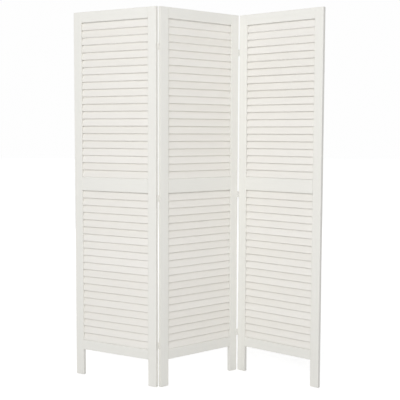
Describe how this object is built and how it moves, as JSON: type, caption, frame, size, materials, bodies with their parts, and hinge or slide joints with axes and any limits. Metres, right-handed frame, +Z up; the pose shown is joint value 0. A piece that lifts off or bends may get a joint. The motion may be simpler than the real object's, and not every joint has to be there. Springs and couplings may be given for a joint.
{
  "type": "folding room divider",
  "caption": "Folding room divider of three white painted louvred wooden panels standing in a zigzag, hinged along their meeting edges so that the outer ones fold flat onto the middle one.",
  "frame": {"origin": "middle of the footprint box at floor level, with the screen standing in its zigzag", "axes": "+Z up; +X along the zigzag from the left panel to the right panel; the panels' front faces look towards -Y"},
  "size_m": [1.1328, 0.278, 1.7],
  "materials": {
    "frame_paint": "satin white paint over wood",
    "slat_paint": "satin white paint over wood, thinner on the slats",
    "leaf_paint": "white painted steel",
    "pin_paint": "white painted steel, rubbed at the ends"
  },
  "bodies": {
    "left_panel": {"left_panel_left_stile": "frame_paint", "left_panel_right_stile": "frame_paint", "left_panel_top_rail": "frame_paint", "left_panel_middle_rail": "frame_paint", "left_panel_bottom_rail": "frame_paint", "left_panel_upper_slats": "slat_paint", "left_panel_lower_slats": "slat_paint", "left_seam_upper_outer_leaf": "leaf_paint", "left_seam_middle_outer_leaf": "leaf_paint", "left_seam_lower_outer_leaf": "leaf_paint"},
    "centre_panel": {"centre_panel_left_stile": "frame_paint", "centre_panel_right_stile": "frame_paint", "centre_panel_top_rail": "frame_paint", "centre_panel_middle_rail": "frame_paint", "centre_panel_bottom_rail": "frame_paint", "centre_panel_upper_slats": "slat_paint", "centre_panel_lower_slats": "slat_paint", "left_seam_upper_centre_leaf": "leaf_paint", "left_seam_upper_pin": "pin_paint", "left_seam_middle_centre_leaf": "leaf_paint", "left_seam_middle_pin": "pin_paint", "left_seam_lower_centre_leaf": "leaf_paint", "left_seam_lower_pin": "pin_paint", "right_seam_upper_centre_leaf": "leaf_paint", "right_seam_upper_pin": "pin_paint", "right_seam_middle_centre_leaf": "leaf_paint", "right_seam_middle_pin": "pin_paint", "right_seam_lower_centre_leaf": "leaf_paint", "right_seam_lower_pin": "pin_paint"},
    "right_panel": {"right_panel_left_stile": "frame_paint", "right_panel_right_stile": "frame_paint", "right_panel_top_rail": "frame_paint", "right_panel_middle_rail": "frame_paint", "right_panel_bottom_rail": "frame_paint", "right_panel_upper_slats": "slat_paint", "right_panel_lower_slats": "slat_paint", "right_seam_upper_outer_leaf": "leaf_paint", "right_seam_middle_outer_leaf": "leaf_paint", "right_seam_lower_outer_leaf": "leaf_paint"}
  },
  "joints": [
    {"name": "left_fold", "type": "hinge", "parent": "centre_panel", "child": "left_panel", "pos_m": [-0.16569, -0.12169, 0.8565], "axis": [0, 0, 1], "range_deg": [-116.5, 63.5]},
    {"name": "right_fold", "type": "hinge", "parent": "centre_panel", "child": "right_panel", "pos_m": [0.20231, 0.12474, 0.8565], "axis": [0, 0, 1], "range_deg": [-106.5, 73.5]}
  ]
}
